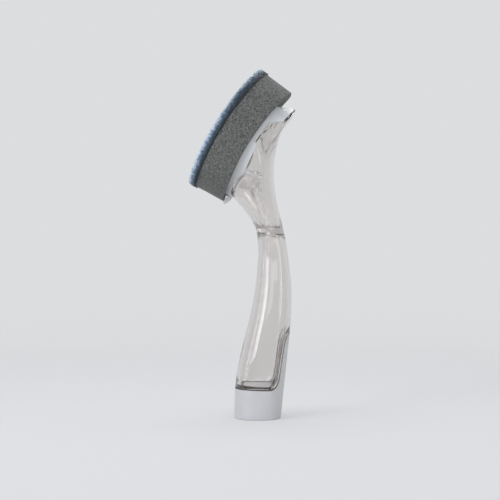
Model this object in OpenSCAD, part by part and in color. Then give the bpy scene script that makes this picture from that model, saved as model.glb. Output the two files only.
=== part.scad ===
// Soap-dispensing dish wand: a clear hollow handle with a scoop head, standing in a pale base cap,
// and a refill head of carrier plate, foam and scourer that hooks on at the toe of the scoop.
// Millimetres, +Z up, +X towards the spine, the wand stands on Z = 0 with the origin under its base.
// The pad frame has U along the rim from toe to heel and V outwards, its arcs centred on V = 0.

/* [Base] */
// Width of the base across X, at the floor
base_w = 29.4; // [27:0.1:33]
// Depth of the base across Y
base_d = 34; // [31:0.1:38]
// Height of the cap rim at the front of the handle
rim_front_h = 19; // [16:0.1:22]
// Height of the cap rim at the sides of the handle
rim_side_h = 18.1; // [15.5:0.1:20]
// Height of the tip of the spine tongue
tongue_top_h = 54.4; // [48:0.1:62]
// Wall of the cap and its tongue
cap_wall = 1.6; // [1.2:0.1:2.2]
// Floor of the cap
cap_floor = 2; // [1.5:0.1:3]
// Height of the locating rib on the cap floor
cap_rib_h = 4; // [2:0.1:6]
// Rounding of the cap's bottom edge
foot_round = 0.8; // [0.3:0.1:1.5]

/* [Rim gasket] */
// Height of the gasket line between cap and handle
gasket_t = 0.7; // [0.4:0.05:1.2]
// Width of the gasket across the cap's rim
gasket_w = 0.9; // [0.6:0.1:1.4]

/* [Filler plug] */
// Height of the plug's top face above the floor
plug_top_h = 19.6; // [16:0.1:21]
// Wall of the hollow plug
plug_wall = 2.4; // [2:0.1:3]
// Height of the square-section plug seal
seal_h = 2; // [1.2:0.1:3]
// Depth of the seal groove in the plug
seal_groove = 1.1; // [0.7:0.05:1.5]

/* [Handle] */
// Wall of the clear reservoir
wall = 2.2; // [1.6:0.1:2.6]
// Height of the widest part of the belly
belly_h = 30; // [27:0.5:34]
// Width of the belly across X
belly_w = 31; // [29:0.1:34]
// Height of the waist, the narrowest part of the handle
waist_h = 103; // [98:0.5:108]
// Width of the waist across X
waist_w = 18.6; // [16.5:0.1:21]
// Depth of the waist across Y
waist_d = 22.6; // [20:0.1:26]
// How far the waist leans towards the spine
waist_lean = 9.9; // [7:0.1:12]
// Height at which the spigot inside the cap ends
spigot_h = 5.5; // [4:0.1:9]
// Wall of the spigot
spigot_wall = 1.8; // [1.4:0.1:2.2]
// Thickness of the septum that closes the reservoir
septum_t = 3.2; // [2.2:0.1:4.5]

/* [Scoop] */
// X of the middle of the scoop rim
rim_x = -2; // [-5:0.1:1]
// Z of the middle of the scoop rim
rim_z = 171.2; // [166:0.1:176]
// Tilt of the rim plane's length from the floor
rim_tilt = 57.4; // [54:0.1:61]
// Radius of the arc that the rim follows
rim_r = 149.5; // [135:0.5:170]
// Length of the rim from its middle to the toe
toe_u = 34; // [31:0.1:37]
// Length of the rim from its middle to the heel
heel_u = 33; // [30:0.1:36]
// Width of the scoop rim across Y
head_w = 45; // [41:0.1:48]
// Depth of the spine under the crown of the rim, at the heel
heel_drop = 10.1; // [9:0.1:12]
// Thickness of the flat heel tongue of the scoop
heel_t = 2.5; // [2.1:0.1:3.5]
// How far the rim flares out from the scoop's sides
rim_flare = 1.2; // [0.5:0.1:2]
// Wall of the scoop
scoop_wall = 2; // [1.5:0.1:2.5]
// How far the spine hollows in between waist and heel
spine_hollow = 11.6; // [9:0.1:13.5]
// How far the throat bulges between waist and toe
throat_bulge = 5.5; // [4:0.1:7]

/* [Outlet] */
// Place along the rim, from its middle, where the nozzle's axis meets the rim arc
nozzle_u = -17.4; // [-20:0.1:-15]
// Lean of the nozzle towards the toe
nozzle_tilt = 10; // [6:0.5:13]
// Outer diameter of the nozzle
nozzle_d = 4.8; // [4:0.1:6]
// Bore of the nozzle
nozzle_bore = 3; // [2:0.1:3.2]
// Length of the nozzle
nozzle_l = 10; // [8:0.1:11.5]
// Gap from the nozzle's end to the rim arc
nozzle_back = 2.2; // [1.8:0.1:3]
// Outer diameter of the riser tube
riser_d = 6.4; // [5.6:0.1:7]
// Bore of the riser tube
riser_bore = 3.8; // [2.8:0.1:4.4]
// How far the riser stands in front of the septum's middle
riser_in = 1.8; // [0:0.1:2.6]
// Outer diameter of the ribbed collar
collar_d = 10.4; // [9:0.1:11.4]
// Height of the ribbed collar
collar_h = 6.6; // [5:0.1:8]
// Number of ribs round the collar
collar_ribs = 8; // [4:1:12]
// How far each rib stands out of the collar
collar_rib = 1.1; // [0.6:0.1:1.4]
// Wall of the collar
collar_wall = 1.4; // [1.1:0.1:2]
// Wall of the socket that holds the nozzle
socket_wall = 1.2; // [0.9:0.1:1.6]
// Depth of the nozzle in its socket
socket_l = 3.2; // [2.4:0.1:4.2]
// Thickness of the slit valve's flange
valve_t = 0.8; // [0.5:0.1:1.2]
// Wall of the ring that holds the slit valve
ring_wall = 0.9; // [0.6:0.1:1.2]

/* [Carrier] */
// Thickness of the carrier's web
web_t = 2.6; // [1.8:0.1:3.4]
// Thickness of the carrier's skirts
skirt_t = 1.5; // [1.1:0.1:2]
// Depth of the skirt on the toe side, under the rim arc
toe_skirt = 2.9; // [2:0.1:4]
// Depth of the skirt on the heel side, under the rim arc
heel_skirt = 6; // [4.5:0.1:7]
// Length of the notch between the two skirts
notch_l = 12.6; // [8:0.1:14]
// Radius of the hinge bead on the toe
bead_r = 0.9; // [0.7:0.05:1.2]
// Length of the hinge bead and its hook
bead_l = 13; // [9:0.5:18]
// Wall of the hook round the bead
hook_wall = 1.15; // [0.9:0.05:1.5]
// Reach of the hook's finger nib past the bead
nib_l = 6.2; // [4:0.1:7]
// Wall of the port grommet
grommet_wall = 0.9; // [0.7:0.1:1.4]

/* [Pad] */
// Length of the pad at its scouring face
pad_l = 83; // [79:0.5:88]
// Width of the pad across Y
pad_w = 56; // [52:0.5:62]
// Radius of the pad's corners
pad_corner = 18; // [6:0.5:24]
// How much each end of the pad draws in towards the carrier
pad_draft = 1.7; // [0:0.1:3]
// Thickness of the foam
foam_t = 19; // [14:0.5:23]
// Thickness of the scourer
scourer_t = 5.2; // [3.5:0.1:7]

/* [Fits] */
// Clearance of a part that slides or lifts off
slide_gap = 0.3; // [0.2:0.05:0.4]
// Clearance of a part that turns on its pin
turn_gap = 0.1; // [0.05:0.01:0.15]
// Clearance of a seal or a press fit
seal_gap = 0.05; // [0.03:0.01:0.1]
// Clearance of the nozzle in the port grommet
port_gap = 0.5; // [0.4:0.05:0.8]

/* [Hidden] */
$fn = 96;
eps = 0.01;

clear_colour = [0.86, 0.88, 0.91, 0.45];
pale_colour = [0.80, 0.82, 0.84];
seal_colour = [0.17, 0.16, 0.16];
silicone_colour = [0.95, 0.95, 0.93];

// Points on half a ring: tongue tip, tongue side, fillet and rim line
tip_n = 8;
side_n = 2;
fillet_n = 6;
line_n = 12;
half_n = tip_n + side_n + fillet_n + line_n;
ring_n = 2 * half_n;
belly_n = 2.3;
rim_n = 2.7;
head_rings = 18;

// Tongue of the cap: half width in degrees round the section, shoulder and fillet heights
tongue_half = 38;
tongue_foot = 42;
tongue_round = 9;
fillet_h = 8;
fillet_end = 68;
mm_per_degree = 0.28;
rim_round = 0.6;

ledge_in = cap_wall + slide_gap;
ledge_up = gasket_t + turn_gap;
blend_h = tongue_top_h + 8;

// Ovals shared by cap, spigot, seal and plug, as half sizes
pocket_x = base_w / 2 - cap_wall - 0.25;
pocket_y = base_d / 2 - cap_wall - 0.2;
pocket_c = 0.6;
pocket_top_h = rim_side_h - 1.2;

rim_mid_u = (heel_u - toe_u) / 2;
rim_half_u = (heel_u + toe_u) / 2;
heel_v = rim_r - heel_drop;
lip_v = heel_v + heel_t;
lip_from_u = heel_u * 0.5;
lip_to_u = heel_u - 6;
foam_r = rim_r + slide_gap + web_t;
scourer_r = foam_r + foam_t;
pad_r = scourer_r + scourer_t;
pad_sag = 5;
bead_u = -toe_u - 0.7;
bead_v = sqrt(rim_r * rim_r - toe_u * toe_u) - bead_r - 0.2;
septum_s = 0.15;
grip_step = 7;

// Rounding of the reservoir's roof: share of the scoop below the septum, and inset from the wall
roof_round = [[0, 2.6], [0.008, 1], [0.028, 0]];

// Insets of the nested ovals from the pocket: mouth of the spigot and outside of the plug
mouth_in = -slide_gap - spigot_wall;
plug_in = mouth_in - slide_gap;
groove_z = plug_top_h - 8;

// The carrier's skirts, from where the toe skirt starts to the notch, its heel wall and its port
skirt_from_u = -toe_u * 0.78;
skirt_full_u = -toe_u * 0.59;
skirt_thin_u = -4;
skirt_up = 3;
notch_u = 1.6;
notch_run = 2;
heel_run = 7;
heel_top_u = heel_u - 7.2;
heel_foot_u = heel_u - 2;
port_d = nozzle_d + 2 * ring_wall + 2 * port_gap;

// Maths shared by the lofted pieces
function smooth(s) = let (c = max(0, min(1, s))) c * c * (3 - 2 * c);
function mix(a, b, s) = a + (b - a) * s;
function unit(p) = p / norm(p);
function super(c, n) = sign(c) * pow(abs(c), 2 / n);

// Smooth curve through a table whose first column is the position and column c the value
function row_at(table, x, i = 0) =
    i >= len(table) - 2 || x < table[i + 1][0] ? i : row_at(table, x, i + 1);
function slope_at(table, i, c) =
    let (a = max(i - 1, 0), b = min(i + 1, len(table) - 1))
    (table[b][c] - table[a][c]) / (table[b][0] - table[a][0]);
function curve(table, x, c = 1) =
    let (i = row_at(table, x), p = table[i], q = table[i + 1], h = q[0] - p[0], s = (x - p[0]) / h)
    p[c] * (1 + 2 * s) * pow(1 - s, 2) + q[c] * s * s * (3 - 2 * s)
    + h * s * (1 - s) * ((1 - s) * slope_at(table, i, c) - s * slope_at(table, i + 1, c));

// Grip of the handle: height, lean, half width and half depth
grip = [
    [0, 0, base_w / 2, base_d / 2],
    [belly_h, 2.3, belly_w / 2, base_d / 2],
    [58, 7.3, mix(belly_w, waist_w, 0.34) / 2, mix(base_d, waist_d, 0.3) / 2],
    [80, waist_lean, mix(belly_w, waist_w, 0.64) / 2, mix(base_d, waist_d, 0.66) / 2],
    [waist_h, waist_lean, waist_w / 2, waist_d / 2]
];

// Bulges of the spine and throat, as shares of spine_hollow and throat_bulge along their chords
spine_shape = [[0, 0], [0.14, 0.25], [0.36, 0.77], [0.53, 1], [0.72, 0.97], [0.85, 0.7], [1, 0]];
throat_shape = [[0, 0], [0.28, 0.8], [0.45, 1], [0.65, 0.76], [0.85, 0.38], [1, 0]];

// The outlet, in the wand's X and Z, and in the pad frame's V
septum_x = section(septum_s, 0)[0][0];
septum_z = section(septum_s, 0)[0][1];
spine_l = rim_z - waist_h + heel_u * sin(rim_tilt) - heel_drop * cos(rim_tilt);
riser_x = septum_x - riser_in;
knuckle = 0.4;
collar_x = nozzle_xz(0)[0] - collar_d * 0.4;
collar_drop = 0.8;
collar_z = nozzle_xz(0)[1] - collar_h - socket_wall - collar_drop;
collar_base = 0.8;
rib_w = 1.2;
feed_bore = riser_bore / 2;
socket_back = 2.6;
web_l = nozzle_l + nozzle_back + slide_gap;
ring_grip = 2.5;
ring_lip = 0.7;
valve_dome = 1;
grommet_reach = 1.7;
grommet_flange = 0.8;

// A point of the pad frame in the wand's X and Z
function u_dir() = [cos(rim_tilt), sin(rim_tilt)];
function v_dir() = [-sin(rim_tilt), cos(rim_tilt)];
function pad_xz(u, v) = [rim_x, rim_z] + u * u_dir() + (v - rim_r) * v_dir();

// The nozzle's axis at l from its inner end, in the pad frame and in the wand's X and Z
function nozzle_uv(l) = [nozzle_u, arc_v(nozzle_u, rim_r)]
    + (l - nozzle_l - nozzle_back) * [-sin(nozzle_tilt), cos(nozzle_tilt)];
function nozzle_xz(l) = pad_xz(nozzle_uv(l)[0], nozzle_uv(l)[1]);

// A point bowed off the chord from a to b, at share s, by depth times the shape
function bowed(a, b, s, shape, depth) =
    let (along = unit(b - a)) mix(a, b, s) + [along[1], -along[0]] * depth * curve(shape, s);
function front_xz(t) = t <= 0
    ? [curve(grip, waist_h + t, 1) - curve(grip, waist_h + t, 2), waist_h + t]
    : bowed([waist_lean - waist_w / 2, waist_h], pad_xz(-toe_u, arc_v(toe_u, rim_r)),
            1 - pow(1 - t, 2.3), throat_shape, throat_bulge);
function spine_xz(t) = t <= 0
    ? [curve(grip, waist_h + t, 1) + curve(grip, waist_h + t, 2), waist_h + t]
    : bowed([waist_lean + waist_w / 2, waist_h], pad_xz(heel_u, heel_v),
            t, spine_shape, -spine_hollow);
function half_depth(t) = t <= 0 ? curve(grip, waist_h + t, 3)
    : mix(waist_d / 2, head_w / 2 - rim_flare, smooth(t / 0.75));

// A section of the handle at t: millimetres under the waist, or the share of the scoop above it.
// Insets are level in the grip and square to the silhouette in the scoop.
function square_in(curve_before, curve_after, side) =
    let (d = unit(curve_after - curve_before)) side * [d[1], -d[0]];
function section(t, inset) =
    let (d = 0.01, up = min(t + d, 1),
         f = front_xz(t) + inset * (t <= 0 ? [1, 0] : square_in(front_xz(t - d), front_xz(up), 1)),
         s = spine_xz(t) + inset * (t <= 0 ? [-1, 0] : square_in(spine_xz(t - d), spine_xz(up), -1)))
    [(f + s) / 2, (s - f) / 2, half_depth(t) - inset, belly_n];
function on_section(sec, a) =
    let (p = sec[0] + sec[1] * super(cos(a), sec[3])) [p[0], sec[2] * super(sin(a), sec[3]), p[1]];
function by_height(z, a, inset) = on_section(section(z - waist_h, inset), a);

// The rim line: an arc that drops to the flat heel tongue
function arc_v(u, r) = sqrt(r * r - u * u);
function rim_v(u, heel) =
    mix(arc_v(u, rim_r), heel, smooth((u - lip_from_u) / (lip_to_u - lip_from_u)));
function rim_point(a, side_in, heel_in, heel, down = 0) =
    let (mid = rim_mid_u + (side_in - heel_in) / 2,
         u = mid + (rim_half_u - (side_in + heel_in) / 2) * super(cos(a), rim_n),
         p = pad_xz(u, rim_v(u, heel) - down))
    [p[0], (head_w / 2 - side_in) * super(sin(a), rim_n), p[1]];
function rim_skin(a) = rim_point(a, 0, 0, heel_v + rim_round, rim_round);
function rim_bore(a) = rim_point(a, scoop_wall, heel_u - lip_to_u, lip_v);
function scoop_point(t, a, inset) =
    on_section(section(t, inset), a)
    + (inset > 0 ? smooth((t - 0.7) / 0.3) * (rim_bore(a) - on_section(section(1, inset), a))
                 : smooth((t - 0.8) / 0.2) * (rim_skin(a) - on_section(section(1, 0), a)));

// The line of the cap's rim, raised by g: angle and height of point k on half a ring
function rim_line_half(k, g) =
    let (wide = g / mm_per_degree, shoulder = tongue_top_h - tongue_round, top = rim_side_h + fillet_h)
    k <= tip_n
        ? let (p = 90 * k / tip_n) [(tongue_half + wide) * sin(p), shoulder + (tongue_round + g) * cos(p)]
    : k <= tip_n + side_n
        ? let (s = (k - tip_n) / side_n) [mix(tongue_half, tongue_foot, s) + wide, mix(shoulder, top, s)]
    : k <= tip_n + side_n + fillet_n
        ? let (p = 90 * (k - tip_n - side_n) / fillet_n)
          [fillet_end - (fillet_end - tongue_foot - wide) * cos(p), top - (fillet_h - g) * sin(p)]
    : let (s = (k - half_n + line_n) / line_n)
      [mix(fillet_end, 180, s), mix(rim_side_h, rim_front_h, s) + g];
function rim_line(i, g) = i <= half_n ? rim_line_half(i, g)
    : let (p = rim_line_half(ring_n - i, g)) [360 - p[0], p[1]];

// Rings of points for the lofts, each point at the angle that it has on the cap's rim line
function turn(i) = rim_line(i, 0)[0];
function level_ring(z, inset) = [for (i = [0:ring_n - 1]) by_height(z, turn(i), inset)];
function rim_ring(g, inset) =
    [for (i = [0:ring_n - 1]) let (p = rim_line(i, g)) by_height(p[1], p[0], inset)];
function blend_ring(g, z, s, inset) =
    [for (i = [0:ring_n - 1]) let (p = rim_line(i, g))
        by_height(mix(p[1], z, s), mix(p[0], turn(i), s), inset)];
function scoop_ring(t, inset) = [for (i = [0:ring_n - 1]) scoop_point(t, turn(i), inset)];
function rim_top_ring() =
    [for (i = [0:ring_n - 1]) rim_point(turn(i), rim_round, rim_round, lip_v - rim_round / 2)];
function oval(grow) = [for (i = [0:ring_n - 1])
    [pocket_c + (pocket_x + grow) * super(cos(turn(i)), belly_n),
     (pocket_y + grow) * super(sin(turn(i)), belly_n)]];
function oval_ring(z, grow) = [for (p = oval(grow)) [p[0], p[1], z]];
function rim_outline(grow) = [for (i = [0:ring_n - 1])
    [rim_mid_u + (rim_half_u + grow) * super(cos(turn(i)), rim_n),
     (head_w / 2 + grow) * super(sin(turn(i)), rim_n)]];

// A closed solid through rings that all run the same way round; closed joins the last ring to the
// first, and turned splits each face along its other diagonal, to lie true on a neighbour's
module loft(rings, closed = false, turned = false) {
    n = len(rings[0]);
    last = len(rings) - 1;
    walls = [for (j = [0:closed ? last : last - 1], i = [0:n - 1])
        let (a = j * n, b = (j == last ? 0 : j + 1) * n, k = (i + 1) % n)
        each turned ? [[a + i, b + i, a + k], [b + i, b + k, a + k]]
                    : [[a + i, b + i, b + k], [a + i, b + k, a + k]]];
    ends = closed ? [] : [[for (i = [0:n - 1]) i], [for (i = [n - 1:-1:0]) last * n + i]];
    polyhedron([for (r = rings) each r], concat(walls, ends), convexity = 10);
}

module oval_prism(z0, z1, grow) {
    translate([0, 0, z0]) linear_extrude(z1 - z0) polygon(oval(grow));
}

// The pad frame: children are drawn with X along U and Z along V
module on_pad() {
    translate([pad_xz(0, 0)[0], 0, pad_xz(0, 0)[1]]) rotate([0, -rim_tilt, 0]) children();
}
module across(width) {
    rotate([90, 0, 0]) linear_extrude(width, center = true) children();
}
module arc_slab(r0, r1) {
    difference() {
        rotate([90, 0, 0]) cylinder(r = r1, h = 2 * pad_w, center = true, $fn = 360);
        rotate([90, 0, 0]) cylinder(r = r0, h = 2 * pad_w + 2, center = true, $fn = 360);
    }
}
module plan(outline) {
    translate([0, 0, rim_r / 2]) linear_extrude(pad_r) polygon(outline);
}

module base_cap() {
    color(pale_colour) {
        difference() {
            loft(concat(
                [level_ring(0, foot_round), level_ring(foot_round * 0.3, foot_round * 0.3),
                 level_ring(foot_round, 0), level_ring(rim_side_h / 2, 0), level_ring(pocket_top_h - 1, 0)],
                [for (s = [0.75, 0.5, 0.25]) blend_ring(0, pocket_top_h, s, 0)],
                [rim_ring(0, 0), rim_ring(0, gasket_w), rim_ring(0, cap_wall)],
                [for (s = [0.25, 0.5, 0.75, 1]) blend_ring(0, pocket_top_h, s, cap_wall)]));
            oval_prism(cap_floor, pocket_top_h + 1, 0);
        }
        difference() {
            oval_prism(cap_floor, cap_floor + cap_rib_h, plug_in - plug_wall - seal_gap);
            oval_prism(cap_floor - 1, cap_floor + cap_rib_h + 1, plug_in - plug_wall - cap_wall);
        }
    }
}

// Runs along the whole rim line, at its outside, between the cap and the ledge of the handle
module rim_gasket() {
    color(seal_colour) loft([rim_ring(0, 0), rim_ring(gasket_t, 0), rim_ring(gasket_t, gasket_w),
                             rim_ring(0, gasket_w)], closed = true, turned = true);
}

// Hollow plug that closes the handle's mouth
module filler_plug() {
    color(pale_colour) difference() {
        oval_prism(cap_floor, plug_top_h, plug_in);
        oval_prism(cap_floor - 1, plug_top_h - plug_wall, plug_in - plug_wall);
        difference() {
            oval_prism(groove_z, groove_z + seal_h, plug_in + 1);
            oval_prism(groove_z - 1, groove_z + seal_h + 1, plug_in - seal_groove);
        }
    }
}

module plug_seal() {
    color(seal_colour) difference() {
        oval_prism(groove_z + seal_gap, groove_z + seal_h - seal_gap, mouth_in - seal_gap);
        oval_prism(groove_z, groove_z + seal_h, plug_in - seal_groove + seal_gap);
    }
}

// Clear moulding: reservoir below the septum, open scoop above it
module reservoir_handle() {
    top_t = septum_s;
    floor_t = septum_s + septum_t / spine_l;
    color(clear_colour) difference() {
        union() {
            loft(concat(
                [for (r = roof_round) scoop_ring(top_t - r[0], wall + r[1])],
                [scoop_ring(top_t / 2, wall)],
                [for (z = [waist_h:-grip_step:blend_h + 3]) level_ring(z, wall)],
                [for (s = [1, 0.5, 0]) blend_ring(ledge_up + wall, blend_h, s, wall)],
                [for (s = [0, 0.5, 1]) blend_ring(ledge_up + 0.6, rim_side_h, s, wall + ledge_in)],
                [oval_ring(pocket_top_h - 1, mouth_in), oval_ring(spigot_h, mouth_in),
                 oval_ring(spigot_h, -slide_gap - 0.4), oval_ring(spigot_h + 0.6, -slide_gap),
                 oval_ring(pocket_top_h, -slide_gap)],
                [for (s = [1, 0.66, 0.33, 0]) blend_ring(ledge_up, pocket_top_h + 0.8, s, ledge_in)],
                [for (s = [0, 0.33, 0.66, 1]) blend_ring(ledge_up, blend_h, s, 0)],
                [for (z = [blend_h + grip_step:grip_step:waist_h - 2]) level_ring(z, 0)],
                [for (k = [0:head_rings]) scoop_ring(k / head_rings, 0)],
                [rim_top_ring()],
                [for (k = [head_rings:-1:ceil(floor_t * head_rings)]) scoop_ring(k / head_rings, scoop_wall)],
                [scoop_ring(floor_t, scoop_wall + 0.6)]));
            on_pad() translate([bead_u, 0, bead_v]) rotate([90, 0, 0])
                cylinder(r = bead_r, h = bead_l, center = true);
        }
        translate([riser_x, 0, septum_z - 8]) cylinder(d = riser_d + 2 * seal_gap, h = 14);
    }
}

// A cylinder from one point of the XZ plane to another
module rod(from, to, d) {
    run = to - from;
    translate([from[0], 0, from[1]]) rotate([0, atan2(run[0], run[1]), 0])
        cylinder(d = d, h = norm(run));
}

// Children stand on the nozzle's axis at l from its inner end: at_nozzle works inside the pad frame,
// on_nozzle in the wand's own
module at_nozzle(l) {
    translate([nozzle_uv(l)[0], 0, nozzle_uv(l)[1]]) rotate([0, -nozzle_tilt, 0]) children();
}
module on_nozzle(l) {
    on_pad() at_nozzle(l) children();
}

// Tube from the septum up to the ribbed collar, with the nozzle's socket on top
module outlet_riser() {
    low = [riser_x, septum_z - 2];
    bend = [riser_x, septum_z + septum_t + 1.2];
    foot = [collar_x + collar_rib, collar_z];
    color(clear_colour) difference() {
        union() {
            rod(low, bend, riser_d);
            translate([bend[0], 0, bend[1]]) sphere(d = riser_d + knuckle);
            rod(bend, foot, riser_d);
            translate([foot[0], 0, foot[1]]) sphere(d = riser_d + knuckle);
            translate([collar_x, 0, collar_z]) {
                cylinder(d = collar_d, h = collar_h);
                cylinder(d = collar_d + 2 * collar_rib, h = collar_base);
                for (i = [0:collar_ribs - 1]) rotate(360 * i / collar_ribs) translate([0, -rib_w / 2, 0])
                    cube([collar_d / 2 + collar_rib, rib_w, collar_h - collar_base]);
            }
            on_nozzle(-socket_back) cylinder(d = nozzle_d + 2 * socket_wall, h = socket_back + socket_l);
        }
        rod(low - [0, 1], bend, riser_bore);
        translate([bend[0], 0, bend[1]]) sphere(d = riser_bore + knuckle);
        rod(bend, foot + unit(foot - bend) * (collar_wall + riser_bore / 2), riser_bore);
        translate([collar_x, 0, collar_z + collar_wall])
            cylinder(d = collar_d - 2 * collar_wall, h = collar_h - 2 * collar_wall);
        rod([collar_x + collar_d / 4, collar_z + collar_h - collar_wall - eps], nozzle_xz(0), feed_bore);
        on_nozzle(socket_wall - socket_back) cylinder(d = nozzle_bore, h = socket_back);
        on_nozzle(0) cylinder(d = nozzle_d + 2 * seal_gap, h = socket_l + 1);
    }
}

module outlet_nozzle() {
    color(clear_colour) on_nozzle(0) difference() {
        cylinder(d = nozzle_d, h = nozzle_l);
        translate([0, 0, -1]) cylinder(d = nozzle_bore, h = nozzle_l + 2);
    }
}

// Soft disc with a slit dome that opens when the handle is squeezed
module slit_valve() {
    color(silicone_colour) on_nozzle(nozzle_l) difference() {
        union() {
            cylinder(d = nozzle_d, h = valve_t);
            cylinder(d = nozzle_bore - 0.2, h = valve_t + valve_dome);
        }
        translate([0, 0, -eps]) cylinder(d = nozzle_bore - 1, h = valve_t);
        translate([-nozzle_bore / 2, -0.1, -1]) cube([nozzle_bore, 0.2, valve_t + valve_dome + 2]);
    }
}

module valve_ring() {
    color(pale_colour) on_nozzle(nozzle_l - ring_grip) difference() {
        cylinder(d = nozzle_d + 2 * ring_wall, h = ring_grip + valve_t + ring_lip);
        translate([0, 0, -1]) cylinder(d = nozzle_d + 2 * seal_gap, h = 1 + ring_grip + valve_t);
        cylinder(d = nozzle_bore + 0.2, h = ring_grip + valve_t + ring_lip + 1);
    }
}

// Side view of the skirts, toe to heel, from the deepest edge up past the web
function under_rim(u, depth) = [u, arc_v(u, rim_r) - depth];
function skirt_side() = [
    under_rim(skirt_from_u, -skirt_up),
    under_rim((skirt_from_u + skirt_full_u) / 2, toe_skirt / 2),
    under_rim(skirt_full_u, toe_skirt),
    under_rim(skirt_thin_u, toe_skirt * 0.75),
    under_rim(notch_u - notch_run, toe_skirt / 2),
    under_rim(notch_u, -slide_gap),
    under_rim(notch_u + notch_l, -slide_gap),
    under_rim(notch_u + notch_l + notch_run, heel_skirt / 10),
    under_rim(notch_u + notch_l + heel_run, heel_skirt),
    under_rim(heel_foot_u, heel_skirt),
    [heel_foot_u, lip_v],
    [heel_top_u, rim_r + skirt_up]
];

// Half ring of the hook, open towards the scoop, with the finger nib outside it
module hook_outline() {
    inner = bead_r + turn_gap;
    outer = inner + hook_wall;
    from = 80;
    to = 212;
    steps = 8;
    nib_root = 0.6;
    nib_top = 2.4;
    nib_low = -0.4;
    polygon([for (side = [0, 1], i = [0:steps])
        let (a = side == 0 ? mix(from, to, i / steps) : mix(to, from, i / steps))
        (side == 0 ? outer : inner) * [cos(a), sin(a)]]);
    polygon([[-inner, nib_root], [-inner, nib_root + 1.1], [-outer - 1.4, nib_top - 0.1], [-nib_l, nib_top],
             [-nib_l - 0.1, nib_top - 1], [-nib_l + 0.9, nib_root - 0.1], [-outer - 0.6, nib_low + 0.1],
             [-inner - 0.2, nib_low]]);
}

// Plate between scoop and foam: web, skirts, heel wall and toe hook
module carrier_plate() {
    outside = rim_outline(slide_gap + skirt_t);
    color(pale_colour) on_pad() difference() {
        intersection() {
            union() {
                intersection() {
                    arc_slab(rim_r + slide_gap, foam_r);
                    plan(outside);
                }
                intersection() {
                    difference() {
                        plan(outside);
                        plan(rim_outline(slide_gap));
                    }
                    across(head_w + 20) polygon(skirt_side());
                }
                intersection() {
                    plan(outside);
                    across(head_w + 20) polygon([
                        [heel_top_u, rim_r + skirt_up], [heel_foot_u, lip_v + slide_gap],
                        [heel_foot_u - skirt_t, lip_v + slide_gap],
                        [heel_top_u - skirt_t, rim_r + skirt_up]]);
                }
                translate([bead_u, 0, bead_v]) across(bead_l - 2 * turn_gap) hook_outline();
            }
            rotate([90, 0, 0]) cylinder(r = foam_r, h = 2 * head_w, center = true, $fn = 360);
            across(head_w + 20) polygon([[-toe_u - 20, 100], [-toe_u - 20, pad_r], [heel_top_u, pad_r],
                                         [heel_top_u, foam_r], [heel_foot_u, lip_v], [heel_foot_u, 100]]);
        }
        at_nozzle(0) cylinder(d = port_d + 2 * grommet_wall, h = 2 * web_l);
    }
}

// Soft seal in the web's port, round the valve ring
module port_grommet() {
    color(silicone_colour) on_nozzle(web_l - grommet_reach) difference() {
        union() {
            cylinder(d = port_d + 2 * grommet_wall - 2 * seal_gap, h = 2 * grommet_reach);
            cylinder(d = port_d + 4 * grommet_wall, h = grommet_flange);
        }
        translate([0, 0, -1]) cylinder(d = port_d, h = 2 * grommet_reach + 2);
    }
}

// A layer of the pad between two radii, cut to the pad's outline and drafted ends
module pad_layer(r0, r1) {
    on_pad() intersection() {
        arc_slab(r0, r1);
        plan([for (q = [0:3], i = [0:12])
            let (a = 90 * q + 90 * i / 12, sx = q == 0 || q == 3 ? 1 : -1, sy = q < 2 ? 1 : -1)
            [sx * (pad_l / 2 - pad_corner) + pad_corner * cos(a),
             sy * (pad_w / 2 - pad_corner) + pad_corner * sin(a)]]);
        across(pad_w + 2) polygon([
            for (s = [-1, 1]) each let (
                low = [s * (pad_l / 2 - pad_draft), foam_r - pad_sag],
                high = [s * pad_l / 2, pad_r - pad_sag],
                foot = low - (high - low) * 0.3, tip = high + (high - low) * 0.5)
            s < 0 ? [foot, tip] : [tip, foot]]);
    }
}

module foam_sponge() {
    color([0.47, 0.47, 0.46]) pad_layer(foam_r, scourer_r);
}

module scourer() {
    color([0.20, 0.32, 0.42]) pad_layer(scourer_r, pad_r);
}

base_cap();
rim_gasket();
filler_plug();
plug_seal();
reservoir_handle();
outlet_riser();
outlet_nozzle();
slit_valve();
valve_ring();
carrier_plate();
port_grommet();
foam_sponge();
scourer();
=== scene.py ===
"""The looks of the dish wand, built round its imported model: a clear moulded handle with a scoop head, a
pale cap at its foot, and a refill of carrier plate, grey foam and blue scouring fibre.
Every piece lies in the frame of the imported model, in metres, with X towards the spine and Z up."""

import math
import random

import bmesh
import bpy
from mathutils import Matrix, Vector, noise


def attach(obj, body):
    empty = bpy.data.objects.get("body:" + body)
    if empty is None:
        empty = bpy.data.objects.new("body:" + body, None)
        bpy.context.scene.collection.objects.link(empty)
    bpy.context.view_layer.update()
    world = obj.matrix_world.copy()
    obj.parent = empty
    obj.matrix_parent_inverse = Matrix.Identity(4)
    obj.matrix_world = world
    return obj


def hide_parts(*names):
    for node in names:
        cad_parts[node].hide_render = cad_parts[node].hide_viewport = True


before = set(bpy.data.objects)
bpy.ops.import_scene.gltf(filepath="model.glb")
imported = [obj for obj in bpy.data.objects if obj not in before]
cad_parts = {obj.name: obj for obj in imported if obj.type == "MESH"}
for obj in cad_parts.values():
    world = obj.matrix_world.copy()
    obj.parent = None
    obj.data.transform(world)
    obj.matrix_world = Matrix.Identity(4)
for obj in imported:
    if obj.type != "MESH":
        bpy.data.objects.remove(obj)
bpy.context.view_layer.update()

MM = 0.001

# The photograph's camera: level, 0.93 m in front of the wand's middle plane, its focal length in
# millimetres on a 36 mm sensor
CAMERA_AT = Vector((-4.7, -930.0, 105.6)) * MM
CAMERA_LENS = 106.3
SENSOR = 36.0

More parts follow.
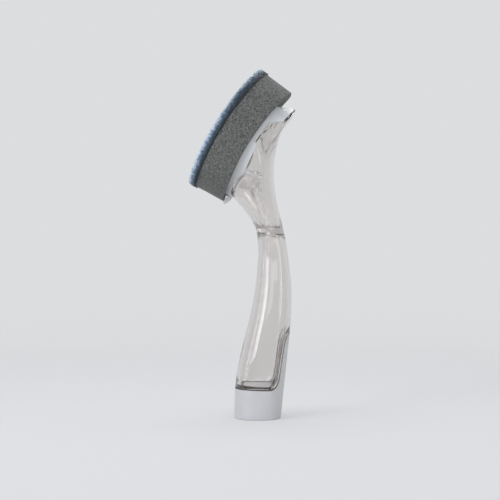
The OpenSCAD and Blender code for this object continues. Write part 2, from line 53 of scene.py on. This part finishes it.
# The pad frame: U runs along the rim of the scoop from toe to heel, V outwards from the arcs' centre
RIM_MIDDLE = Vector((-2.0, 0.0, 171.2)) * MM
RIM_TILT = math.radians(57.4)
RIM_R = 149.5 * MM
ALONG_RIM = Vector((math.cos(RIM_TILT), 0.0, math.sin(RIM_TILT)))
OUT_OF_RIM = Vector((-math.sin(RIM_TILT), 0.0, math.cos(RIM_TILT)))
ARC_CENTRE = RIM_MIDDLE - OUT_OF_RIM * RIM_R

# The pad as it is cut: length and width of its face, radius of its corners, draft of its ends
PAD_L = 83.0 * MM
PAD_W = 56.0 * MM
PAD_CORNER = 18.0 * MM
PAD_DRAFT = 1.7 * MM

# Its layers: radius of the arc that each lies on, thickness of each, and the hair's breadth between them
FOAM_R = 152.4 * MM
FOAM_T = 19.0 * MM
SCOURER_R = FOAM_R + FOAM_T
SCOURER_T = 5.2 * MM
PAD_T = FOAM_T + SCOURER_T
LAYER_GAP = 0.02 * MM

# Thickness of a loose fibre: twice the real one's, so that it shows
FIBRE = 0.2 * MM

# Tone of the paper that the wand stands on and of the room past it
PAPER = "#DCDDDF"

random.seed(7)


def linear(hex_colour):
    """The linear colour of an sRGB hex value."""
    shares = [int(hex_colour[i:i + 2], 16) / 255 for i in (1, 3, 5)]
    return (*(s / 12.92 if s <= 0.04045 else ((s + 0.055) / 1.055) ** 2.4 for s in shares), 1.0)


def add_node(tree, kind, inputs=None, **settings):
    """Adds a shader node. Each of its inputs gets a value, another node's socket, or another node, which
    stands for its main output."""
    made = tree.nodes.new("ShaderNode" + kind)
    for name, value in settings.items():
        setattr(made, name, value)
    sockets = {s.identifier: s for s in made.inputs}
    for name, value in (inputs or {}).items():
        if isinstance(value, bpy.types.Node):
            value = next(s for s in value.outputs if s.enabled)
        if isinstance(value, bpy.types.NodeSocket):
            tree.links.new(value, sockets[name])
        else:
            sockets[name].default_value = value
    return made


def new_material(name):
    """An empty node material, its tree, and the coordinates that its patterns read."""
    made = bpy.data.materials.new(name)
    made.use_nodes = True
    made.node_tree.nodes.clear()
    place = add_node(made.node_tree, "TexCoord").outputs["Object"]
    return made, made.node_tree, place


def per_metre(size_mm):
    """Noise scale whose features are about size_mm across."""
    return 1.0 / (size_mm * MM)


# Materials


def abs_plastic(name, pale, deep):
    """Moulded ABS, pale cool grey: an even satin skin with the faintest mottle. The tool's spark marks,
    under 0.1 mm, are drawn at 0.5 mm, so that they show."""
    made, tree, place = new_material(name)
    cloud = add_node(tree, "TexNoise", {"Vector": place, "Scale": per_metre(9), "Detail": 3.0})
    tone = add_node(tree, "Mix", {"Factor_Float": cloud, "A_Color": linear(pale),
                                  "B_Color": linear(deep)}, data_type="RGBA")
    spark = add_node(tree, "TexNoise", {"Vector": place, "Scale": per_metre(0.5), "Detail": 2.0})
    rough = add_node(tree, "MapRange", {"Value": spark, "To Min": 0.32, "To Max": 0.44})
    bump = add_node(tree, "Bump", {"Height": spark, "Strength": 0.12, "Distance": 0.02 * MM})
    skin = add_node(tree, "BsdfPrincipled", {
        "Base Color": tone, "Roughness": rough, "IOR": 1.53, "Normal": bump,
        "Subsurface Weight": 0.06, "Subsurface Radius": (1.0, 0.9, 0.85), "Subsurface Scale": 0.8 * MM})
    add_node(tree, "OutputMaterial", {"Surface": skin})
    return made


def clear_plastic(name, tint, waviness_mm, smoke):
    """Injection-moulded clear SAN: bright sharp reflections, faint flow waves, and a warm smoke in its
    depth, given per millimetre, that darkens the edges, where the eye looks along the wall. Light
    passes it without a shadow."""
    made, tree, place = new_material(name)
    flow = add_node(tree, "TexNoise", {"Vector": place, "Scale": per_metre(14), "Detail": 1.0})
    bump = add_node(tree, "Bump", {"Height": flow, "Strength": 0.5, "Distance": waviness_mm * MM})
    body = add_node(tree, "BsdfPrincipled", {
        "Base Color": linear(tint), "Roughness": 0.015, "IOR": 1.57, "Transmission Weight": 1.0,
        "Normal": bump})
    open_air = add_node(tree, "BsdfTransparent", {"Color": linear(tint)})
    ray = add_node(tree, "LightPath")
    both = add_node(tree, "MixShader", {"Fac": ray.outputs["Is Shadow Ray"], "Shader": body,
                                        "Shader_001": open_air})
    depth = add_node(tree, "VolumeAbsorption", {"Color": linear("#BFB9B3"), "Density": smoke / MM})
    add_node(tree, "OutputMaterial", {"Surface": both, "Volume": depth})
    return made


def seal_rubber():
    """Moulded TPE, charcoal: soft, dull, with a little haze of dust in its pores."""
    made, tree, place = new_material("charcoal_tpe")
    grain = add_node(tree, "TexNoise", {"Vector": place, "Scale": per_metre(0.6), "Detail": 4.0})
    tone = add_node(tree, "Mix", {"Factor_Float": grain, "A_Color": linear("#2A2524"),
                                  "B_Color": linear("#3B3634")}, data_type="RGBA")
    bump = add_node(tree, "Bump", {"Height": grain, "Strength": 0.3, "Distance": 0.05 * MM})
    skin = add_node(tree, "BsdfPrincipled", {"Base Color": tone, "Roughness": 0.6,
                                             "IOR": 1.51, "Normal": bump})
    add_node(tree, "OutputMaterial", {"Surface": skin})
    return made


def valve_silicone():
    """Cast silicone, milky white: soft gloss with light sinking in."""
    made, tree, place = new_material("milky_silicone")
    cloud = add_node(tree, "TexNoise", {"Vector": place, "Scale": per_metre(1.2), "Detail": 2.0})
    rough = add_node(tree, "MapRange", {"Value": cloud, "To Min": 0.35, "To Max": 0.5})
    skin = add_node(tree, "BsdfPrincipled", {
        "Base Color": linear("#EEEDE8"), "Roughness": rough, "IOR": 1.41,
        "Subsurface Weight": 0.4, "Subsurface Radius": (1.0, 0.95, 0.9), "Subsurface Scale": 1.5 * MM})
    add_node(tree, "OutputMaterial", {"Surface": skin})
    return made


def polyurethane_foam():
    """Open-cell polyurethane foam, slate grey: dull, finely mottled where the blade has torn its cells
    open, with a few specks of blue lint. The cells, about 0.5 mm, are drawn at 1 mm, so that they show."""
    made, tree, place = new_material("slate_foam")
    cells = add_node(tree, "TexVoronoi", {"Vector": place, "Scale": per_metre(0.9)})
    tears = add_node(tree, "TexNoise", {"Vector": place, "Scale": per_metre(1.0), "Detail": 5.0,
                                        "Roughness": 0.8})
    mouths = add_node(tree, "MapRange", {"Value": cells, "From Min": 0.1, "From Max": 0.8})
    mottle = add_node(tree, "Mix", {"Factor_Float": 0.12, "A_Float": tears, "B_Float": mouths},
                      data_type="FLOAT")
    spread = add_node(tree, "MapRange", {"Value": mottle, "From Min": 0.36, "From Max": 0.66})
    tone = add_node(tree, "Mix", {"Factor_Float": spread, "A_Color": linear("#272B2A"),
                                  "B_Color": linear("#797B78")}, data_type="RGBA")
    lint = add_node(tree, "TexVoronoi", {"Vector": place, "Scale": per_metre(5.0)})
    speck = add_node(tree, "Math", {"Value": lint, "Value_001": 0.07}, operation="LESS_THAN")
    cut = add_node(tree, "Mix", {"Factor_Float": speck, "A_Color": tone, "B_Color": linear("#3F5A75")},
                   data_type="RGBA")
    bump = add_node(tree, "Bump", {"Height": mottle, "Strength": 0.7, "Distance": 0.3 * MM})
    skin = add_node(tree, "BsdfPrincipled", {"Base Color": cut, "Roughness": 0.95, "IOR": 1.45,
                                             "Sheen Weight": 0.12, "Sheen Roughness": 0.6, "Normal": bump})
    add_node(tree, "OutputMaterial", {"Surface": skin})
    return made


def pale_tone_and_painted_light(tree, place, web):
    """Share of the pale tone at a point of the scouring layer: none by the foam and rising ever faster to
    the scouring face, with a ragged change that follows the web. It rises later towards the heel. The pale
    is partly the fibre's own tone and partly painted light on the face; the navy by the foam is partly
    painted shade."""
    web_weight, all_navy, all_pale = 1.4, 0.76, 1.57
    late_from, late_to, latest = RIM_MIDDLE.z + 8 * MM, RIM_MIDDLE.z + 34 * MM, 0.24
    flat = add_node(tree, "VectorMath", {"Vector": place, "Vector_001": (1.0, 0.0, 1.0)},
                    operation="MULTIPLY")
    out = add_node(tree, "VectorMath", {"Vector": flat, "Vector_001": ARC_CENTRE}, operation="DISTANCE")
    # Painted light: the tone turns paler with height towards the scouring face
    depth = add_node(tree, "MapRange", {"Value": out, "From Min": SCOURER_R,
                                        "From Max": SCOURER_R + SCOURER_T})
    along = add_node(tree, "SeparateXYZ", {"Vector": place})
    late = add_node(tree, "MapRange", {"Value": along.outputs["Z"], "From Min": late_from,
                                       "From Max": late_to, "To Max": latest})
    pale_and_lit = add_node(tree, "Math", {"Value": web, "Value_001": web_weight, "Value_002": depth},
                    operation="MULTIPLY_ADD")
    held = add_node(tree, "Math", {"Value": pale_and_lit, "Value_001": late}, operation="SUBTRACT")
    rising = add_node(tree, "MapRange", {"Value": held, "From Min": all_navy, "From Max": all_pale})
    return add_node(tree, "Math", {"Value": rising, "Value_001": 2.0}, operation="POWER")


def felted_nylon():
    """Non-woven nylon web held by resin: navy by the foam, light steel blue at the scouring face, with a
    ragged change between them. The navy is partly painted shade on the cut side and the steel blue partly
    painted light on the face, over the web's own two tones. Its fibres, about 0.1 mm, are drawn as knots
    of
    1.2 mm, so that they show."""
    made, tree, place = new_material("felted_nylon")
    web = add_node(tree, "TexNoise", {"Vector": place, "Scale": per_metre(1.2), "Detail": 5.0,
                                      "Roughness": 0.75})
    # Painted light and shade: pale towards the scouring face, navy by the foam
    tone = add_node(tree, "Mix", {"Factor_Float": pale_tone_and_painted_light(tree, place, web),
                                  "A_Color": linear("#14232E"), "B_Color": linear("#7F9CB8")},
                    data_type="RGBA")
    bump = add_node(tree, "Bump", {"Height": web, "Strength": 0.9, "Distance": 0.5 * MM})
    skin = add_node(tree, "BsdfPrincipled", {"Base Color": tone, "Roughness": 0.7, "IOR": 1.53,
                                             "Sheen Weight": 0.15, "Sheen Roughness": 0.5, "Normal": bump})
    add_node(tree, "OutputMaterial", {"Surface": skin})
    return made


def loose_nylon(name, dark, light, patch_mm=1.1, by_depth=True):
    """Drawn nylon fibre with a resin film: a low gloss and paler patches. With by_depth the pale grows
    towards the scouring face, partly as painted light; without it, it lies all over in patches where the
    film has rubbed off."""
    made, tree, place = new_material(name)
    rubbed = add_node(tree, "TexNoise", {"Vector": place, "Scale": per_metre(patch_mm), "Detail": 3.0,
                                         "Roughness": 0.7})
    if by_depth:
        # Partly painted light on the face and painted shade by the foam
        share = pale_tone_and_painted_light(tree, place, rubbed)
    else:
        share = add_node(tree, "MapRange", {"Value": rubbed, "From Min": 0.35, "From Max": 0.62})
    tone = add_node(tree, "Mix", {"Factor_Float": share, "A_Color": linear(dark),
                                  "B_Color": linear(light)}, data_type="RGBA")
    skin = add_node(tree, "BsdfPrincipled", {"Base Color": tone, "Roughness": 0.5, "IOR": 1.53,
                                             "Sheen Weight": 0.2, "Sheen Roughness": 0.5})
    add_node(tree, "OutputMaterial", {"Surface": skin})
    return made


# Shapes


def new_object(name, data):
    """An object of the scene that holds a mesh, a curve, a lamp or a camera."""
    made = bpy.data.objects.new(name, data)
    bpy.context.scene.collection.objects.link(made)
    return made


def mesh_object(name, bm, material=None):
    """Turns a finished bmesh into a smooth-shaded object."""
    mesh = bpy.data.meshes.new(name)
    bm.to_mesh(mesh)
    bm.free()
    for face in mesh.polygons:
        face.use_smooth = True
    if material:
        mesh.materials.append(material)
    return new_object(name, mesh)


def new_piece(name, bm, material, body):
    """Turns a finished bmesh into a piece of the wand that rides on a body."""
    made = mesh_object(name, bm, material)
    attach(made, body)
    return made


def final_mesh(source):
    """The mesh of an object with its modifiers applied, or that of a curve with its thickness."""
    graph = bpy.context.evaluated_depsgraph_get()
    return bpy.data.meshes.new_from_object(source.evaluated_get(graph), depsgraph=graph)


def smooth_copy(node, name, material, body, levels=0, crease=0.9):
    """A fine copy of a CAD node: its triangles merged into quads, and these subdivided as often as levels
    says, between edges that stay crisp."""
    sharp = math.radians(32)
    bm = bmesh.new()
    bm.from_mesh(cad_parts[node].data)
    bmesh.ops.remove_doubles(bm, verts=bm.verts, dist=0.002 * MM)
    bmesh.ops.dissolve_degenerate(bm, edges=bm.edges, dist=0.001 * MM)
    bmesh.ops.join_triangles(bm, faces=bm.faces, angle_face_threshold=math.radians(14),
                             angle_shape_threshold=math.radians(75))
    creases = bm.edges.layers.float.new("crease_edge")
    for edge in bm.edges:
        if len(edge.link_faces) == 2 and edge.calc_face_angle() > sharp:
            edge[creases] = crease
    made = new_piece(name, bm, material, body)
    made.data.set_sharp_from_angle(angle=sharp)
    if levels:
        fine = made.modifiers.new("fine", "SUBSURF")
        fine.levels = fine.render_levels = levels
        made.data = final_mesh(made)
        made.modifiers.clear()
    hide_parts(node)


def pad_point(u, y, radius):
    """A point of the pad at u along the rim, y across, on the arc of that radius."""
    return ARC_CENTRE + ALONG_RIM * u + OUT_OF_RIM * math.sqrt(radius * radius - u * u) + Vector((0, y, 0))


def pad_slab(thickness, edge_rounds, voxel):
    """A flat slab with the pad's outline, X along the pad, standing on Z = 0, remeshed into an even skin.
    Its lower and upper edges are rounded by the two widths given."""
    bm = bmesh.new()
    bmesh.ops.create_cube(bm, size=1.0, matrix=Matrix.Diagonal((PAD_L, PAD_W, thickness, 1.0)))
    upright = [e for e in bm.edges if abs(e.verts[0].co.z - e.verts[1].co.z) > thickness / 2]
    bmesh.ops.bevel(bm, geom=upright, offset=PAD_CORNER, segments=8, profile=0.5, affect="EDGES",
                    material=-1)
    flats = [f for f in bm.faces if abs(f.normal.z) > 0.9]
    for face, width in zip(sorted(flats, key=lambda f: f.normal.z), edge_rounds):
        bmesh.ops.bevel(bm, geom=list(face.edges), offset=width, segments=4, profile=0.5, affect="EDGES",
                        material=-1)
    bmesh.ops.translate(bm, verts=bm.verts, vec=(0, 0, thickness / 2))
    slab = mesh_object("slab", bm)
    even = slab.modifiers.new("even", "REMESH")
    even.mode = "VOXEL"
    even.voxel_size = voxel
    skin = bmesh.new()
    skin.from_mesh(final_mesh(slab))
    bpy.data.objects.remove(slab)
    return skin


def bend_to_pad(bm, underside):
    """Bends a flat slab onto the pad's arcs, with its underside at a height in the pad. Its ends lean in
    towards the carrier by the draft."""
    for vert in bm.verts:
        height = underside + vert.co.z
        inwards = 1.0 - height / PAD_T
        u = vert.co.x * (1.0 - inwards * PAD_DRAFT / (PAD_L / 2))
        vert.co = pad_point(u, vert.co.y, FOAM_R + height)


# Pieces


def foam_block(material):
    """The foam: cut sides with torn cells and a slow swell, flat where it is bonded to the carrier and
    the scourer."""
    cell_size, cell_depth = 1.2 * MM, 0.22 * MM
    swell_size, swell_depth = 11 * MM, 0.12 * MM
    bm = pad_slab(FOAM_T - LAYER_GAP, (0.15 * MM, 0.1 * MM), 0.55 * MM)
    for vert in bm.verts:
        cell = noise.voronoi(vert.co / cell_size)[0][0]
        swell = noise.noise(vert.co / swell_size)
        sideways = Vector((vert.normal.x, vert.normal.y, 0.0))
        vert.co -= sideways * (cell_depth * (1 - cell) + swell_depth * (1 + swell))
    bend_to_pad(bm, 0.0)
    made = new_piece("foam_block", bm, material, "refill")
    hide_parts("foam_sponge")


def scouring_pad(material):
    """The scouring layer: a felted slab with a ragged skin, calm where it is bonded to the foam. It is a
    little thin, which leaves room for the fibres on its face."""
    fibre_room = 0.6 * MM
    rag_size, rag_depth, mean_rag = 1.4 * MM, 0.7 * MM, 0.35
    calm_height, calm_share = 0.8 * MM, 0.25
    bm = pad_slab(SCOURER_T - fibre_room, (0.1 * MM, 0.6 * MM), 0.5 * MM)
    for vert in bm.verts:
        rag = noise.turbulence(vert.co / rag_size, 3, False)
        free = min(1.0, calm_share + vert.co.z / calm_height)
        vert.co += vert.normal * (rag_depth * (mean_rag - rag) * free)
    bend_to_pad(bm, FOAM_T)
    made = new_piece("scouring_pad", bm, material, "refill")
    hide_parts("scourer")


def strand_piece(name, strands, thick, material):
    """Short bent strands, each a list of points in the flat slab's frame, as one piece on the pad."""
    curve = bpy.data.curves.new(name, "CURVE")
    curve.dimensions = "3D"
    curve.bevel_depth = thick / 2
    curve.bevel_resolution = 0
    curve.use_fill_caps = True
    for strand in strands:
        spline = curve.splines.new("POLY")
        spline.points.add(len(strand) - 1)
        for point, (u, y, height) in zip(spline.points, strand):
            point.co = (*pad_point(u, y, SCOURER_R + height), 1.0)
    loose = new_object(name + "_curve", curve)
    bm = bmesh.new()
    bm.from_mesh(final_mesh(loose))
    bpy.data.objects.remove(loose)
    new_piece(name, bm, material, "refill")


def rim_place(share):
    """A point of the pad's outline at a share of its length, and its outward normal."""
    straight_u, straight_y = PAD_L / 2 - PAD_CORNER, PAD_W / 2 - PAD_CORNER
    quarter = math.pi * PAD_CORNER / 2
    run = share * (4 * (straight_u + straight_y) + 4 * quarter)
    for turns, (half, depth) in enumerate([(straight_y, straight_u), (straight_u, straight_y)] * 2):
        heading = Matrix.Rotation(turns * math.pi / 2, 2)
        if run < 2 * half:
            return heading @ Vector((depth + PAD_CORNER, run - half)), heading @ Vector((1, 0))
        run -= 2 * half
        if run < quarter:
            out = Vector((math.cos(run / PAD_CORNER), math.sin(run / PAD_CORNER)))
            return heading @ (Vector((depth, half)) + out * PAD_CORNER), heading @ out
        run -= quarter
    return rim_place(0.0)


def bent_steps(shortest, longest, most_turn):
    """Four steps along a fibre that lies any way and turns as it runs: each one's place along the fibre,
    from -1/2 to 1/2, and its two offsets from the fibre's middle."""
    heading, turn = random.uniform(0, 2 * math.pi), random.uniform(-most_turn, most_turn)
    length = random.uniform(shortest, longest)
    steps = []
    for i in range(4):
        s = i / 3 - 0.5
        angle = heading + turn * s
        steps.append((s, math.cos(angle) * length * s, math.sin(angle) * length * s))
    return steps


def edge_fibres(count, material):
    """Fibres that loop over the outer edge of the scouring layer, from its side onto its face. They grow
    in tufts: where one is thick they start lower, lean and stand prouder."""
    tuft_size = 1.1 * MM
    usual_start, lowest, highest = 3.3 * MM, 1.0 * MM, 4.6 * MM
    strands = []
    while len(strands) < count:
        spot, out = rim_place(random.random())
        tuft = noise.noise(Vector((spot.x, spot.y, 0)) / tuft_size)
        if random.random() > 0.8 + 0.6 * tuft:
            continue
        along = Vector((-out.y, out.x))
        slant = (random.uniform(-0.8, 0.8) + 0.4 * tuft) * MM
        start = usual_start + (random.uniform(-1.3, 1.3) - 1.4 * tuft) * MM
        start = min(max(start, lowest), highest)
        proud = (random.uniform(-0.5, 0.05) + 0.4 * max(0.0, tuft)) * MM
        reach = random.uniform(0.6, 3.2) * MM
        # Each point: how far it stands out of the side, its height, and its share of the slant
        path = [(0.05 * MM, start, -0.5),
                (0.25 * MM, (start + SCOURER_T) / 2, -0.15),
                (-0.3 * MM + proud * 0.4, SCOURER_T + proud, 0.2),
                (-reach, SCOURER_T - 0.4 * MM, 0.6)]
        strands.append([(*(spot + out * away + along * slant * drift), height)
                        for away, height, drift in path])
    strand_piece("edge_fibres", strands, FIBRE, material)


def side_fibres(count, material):
    """Fibre ends in the cut side of the scouring layer, lying every way in it. Each bows out of the side
    by its middle."""
    lowest, highest = -0.4 * MM, SCOURER_T - 0.2 * MM
    strands = []
    for _ in range(count):
        spot, out = rim_place(random.random())
        along = Vector((-out.y, out.x))
        middle = random.uniform(-0.1 * MM, SCOURER_T - 0.8 * MM)
        strand = []
        for s, run, rise in bent_steps(1.0 * MM, 2.8 * MM, 1.0):
            away = (0.2 - 1.4 * s * s) * MM
            height = min(max(middle + rise, lowest), highest)
            strand.append((*(spot + out * away + along * run), height))
        strands.append(strand)
    strand_piece("side_fibres", strands, 0.9 * FIBRE, material)


def face_fibres(count, material):
    """Fibres that lie tangled over the scouring face, their middles clear of its edge and a little
    lifted."""
    clear_edge, bed = 1.5 * MM, SCOURER_T - 0.3 * MM
    half_u, half_y = PAD_L / 2 - clear_edge, PAD_W / 2 - clear_edge
    strands = []
    while len(strands) < count:
        u, y = random.uniform(-half_u, half_u), random.uniform(-half_y, half_y)
        over = (max(0.0, abs(u) - (half_u - PAD_CORNER)), max(0.0, abs(y) - (half_y - PAD_CORNER)))
        if math.hypot(*over) > PAD_CORNER:
            continue
        steps = bent_steps(1.6 * MM, 4.2 * MM, 1.4)
        lift = random.uniform(0.0, 0.4) * MM
        strands.append([(u + run, y + across, bed + lift * (1 - 4 * s * s)) for s, run, across in steps])
    strand_piece("face_fibres", strands, FIBRE, material)


# Stage


def seen_directly(tree):
    """1 for a ray that the eye follows: straight, in a reflection or through clear plastic. 0 for light
    that falls on a dull surface."""
    ray = add_node(tree, "LightPath")
    mirrored = add_node(tree, "Math", {"Value": ray.outputs["Is Camera Ray"],
                                       "Value_001": ray.outputs["Is Glossy Ray"]}, operation="ADD")
    return add_node(tree, "Math", {"Value": mirrored, "Value_001": ray.outputs["Is Transmission Ray"]},
                    operation="ADD", use_clamp=True)


def backdrop():
    """A pale sweep that the wand stands on, rising to a wall behind it. It keeps the wand's shadow nearby,
    and turns into one even tone further out."""
    width, front, back, high, bend = 5.0, -3.2, 1.0, 2.2, 0.35
    nearby, far_out, nearby_share = 0.25, 0.90, 0.4
    made, tree, place = new_material("pale_paper")
    paper = add_node(tree, "BsdfPrincipled", {"Base Color": linear(PAPER), "Roughness": 0.9})
    even = add_node(tree, "Emission", {"Color": linear(PAPER), "Strength": 1.0})
    away = add_node(tree, "VectorMath", {"Vector": place}, operation="LENGTH")
    share = add_node(tree, "MapRange", {"Value": away, "From Min": nearby, "From Max": far_out,
                                        "To Min": nearby_share})
    seen = add_node(tree, "Math", {"Value": seen_directly(tree), "Value_001": share}, operation="MULTIPLY")
    both = add_node(tree, "MixShader", {"Fac": seen, "Shader": paper, "Shader_001": even})
    add_node(tree, "OutputMaterial", {"Surface": both})
    bm = bmesh.new()
    bmesh.ops.create_grid(bm, x_segments=1, y_segments=1, size=0.5,
                          matrix=Matrix.Translation((0, (front + back - bend) / 2, 0))
                          @ Matrix.Diagonal((width, back - bend - front, 1.0, 1.0)))
    rear = [e for e in bm.edges if all(v.co.y > back - bend - 0.01 for v in e.verts)]
    spun = bmesh.ops.spin(bm, geom=rear, cent=(0, back - bend, bend), axis=(1, 0, 0), dvec=(0, 0, 0),
                          angle=math.pi / 2, steps=24, use_merge=False, use_duplicate=False)
    wall = [e for e in spun["geom_last"] if isinstance(e, bmesh.types.BMEdge)]
    risen = bmesh.ops.extrude_edge_only(bm, edges=wall)["geom"]
    bmesh.ops.translate(bm, verts=[v for v in risen if isinstance(v, bmesh.types.BMVert)],
                        vec=(0, 0, high - bend))
    mesh_object("sweep", bm, made)


def softbox(name, at, aim, size, watts, colour="#FFFFFF", spread=180, gloss_only=False):
    """A rectangular soft light at one point, aimed at another. A grid narrows its spread, in degrees, and
    keeps it off the floor beneath it. One for gloss only adds a reflection and no light."""
    light = bpy.data.lights.new(name, "AREA")
    light.shape = "RECTANGLE"
    light.size, light.size_y = size
    light.energy = watts
    light.color = linear(colour)[:3]
    light.spread = math.radians(spread)
    towards = (Vector(aim) - Vector(at)).to_track_quat("-Z", "Y")
    lamp = new_object(name, light)
    lamp.matrix_world = Matrix.Translation(at) @ towards.to_matrix().to_4x4()
    lamp.visible_diffuse = not gloss_only


def studio():
    """Soft light from the upper left and right in an even, pale room."""
    world = bpy.data.worlds.new("room")
    world.use_nodes = True
    world.node_tree.nodes.clear()
    air = add_node(world.node_tree, "Background", {"Color": linear("#CBCBCC"), "Strength": 0.74})
    paper = add_node(world.node_tree, "Background", {"Color": linear(PAPER), "Strength": 1.0})
    both = add_node(world.node_tree, "MixShader", {"Fac": seen_directly(world.node_tree), "Shader": air,
                                                   "Shader_001": paper})
    add_node(world.node_tree, "OutputWorld", {"Surface": both})
    bpy.context.scene.world = world
    middle = (0.0, 0.0, 0.11)
    softbox("key", (-0.80, -0.85, 0.62), middle, (0.55, 0.90), 2.9, "#FCF8FF", spread=120)
    softbox("side", (-1.20, -0.30, 0.45), middle, (0.14, 0.90), 0.65, spread=120)
    softbox("fill", (0.85, -0.75, 0.54), middle, (0.16, 1.00), 1.0, spread=120)
    softbox("front", (0.15, -1.80, 0.85), middle, (1.60, 1.00), 2.6, spread=120)
    softbox("top", (-0.15, 0.10, 1.10), middle, (0.80, 0.60), 2.6)
    softbox("glint", (0.40, 0.12, 1.05), (0.0, 0.0, 0.16), (0.50, 0.80), 9.0, gloss_only=True)
    softbox("wall", (0.00, 0.30, 1.30), (0.0, 1.0, 0.4), (1.40, 0.50), 2.4)


def camera():
    """The photograph's view."""
    lens = bpy.data.cameras.new("camera")
    lens.sensor_width = SENSOR
    lens.lens = CAMERA_LENS
    made = new_object("camera", lens)
    made.location = CAMERA_AT
    made.rotation_euler = (math.pi / 2, 0.0, 0.0)
    bpy.context.scene.camera = made


camera()
pale = abs_plastic("pale_abs", "#C3C6C8", "#BEC0C3")
# The carrier is the cap's plastic made paler: painted light that offsets the shade under the foam
carrier_painted_light = abs_plastic("carrier_abs_painted_light", "#CED2D5", "#C9CDD0")
# The valve clip's near white is partly painted highlight, brightening the outlet's rings in the shade
# under the carrier
clip_white_and_painted_light = abs_plastic("white_abs", "#F4F5F7", "#EEEFF1")
# The scoop's warm grey tint is partly the plastic's own and partly painted shade, darkening what is seen
# through it
clear = clear_plastic("clear_san", "#F5F3F2", 0.05, smoke=0.045)
clear_inner = clear_plastic("clear_san_tube", "#FDFDFE", 0.02, smoke=0.01)
rubber = seal_rubber()
silicone = valve_silicone()

smooth_copy("reservoir_handle", "clear_handle", clear, "handle", levels=2)
smooth_copy("outlet_riser", "riser_tube", clear_inner, "handle")
smooth_copy("outlet_nozzle", "nozzle_tube", clear_inner, "handle")
smooth_copy("valve_ring", "valve_clip", clip_white_and_painted_light, "handle")
smooth_copy("slit_valve", "slit_disc", silicone, "handle")
smooth_copy("base_cap", "foot_cap", pale, "base", levels=2)
smooth_copy("rim_gasket", "rim_seal", rubber, "base", levels=1, crease=0.5)
smooth_copy("filler_plug", "filler_bung", pale, "base")
smooth_copy("plug_seal", "bung_seal", rubber, "base")
smooth_copy("carrier_plate", "pad_carrier", carrier_painted_light, "refill")
smooth_copy("port_grommet", "port_seal", silicone, "refill")

foam_block(polyurethane_foam())
scouring_pad(felted_nylon())
# Edge and side fibres: pale tips partly painted light, navy roots partly painted shade
edge_fibres(4600, loose_nylon("steel_blue_nylon", "#2A4054", "#CFE0EF"))
side_fibres(2600, loose_nylon("navy_nylon", "#15242F", "#A3BFDA"))
face_fibres(4200, loose_nylon("rubbed_nylon", "#45627F", "#A8C3DC", patch_mm=1.5,
                              by_depth=False))

backdrop()
studio()
bpy.context.scene.view_settings.view_transform = "Standard"

# Light runs on through the nested clear walls instead of ending black in them
paths = bpy.context.scene.cycles
paths.max_bounces = paths.glossy_bounces = paths.transmission_bounces = 28
paths.transparent_max_bounces = 16
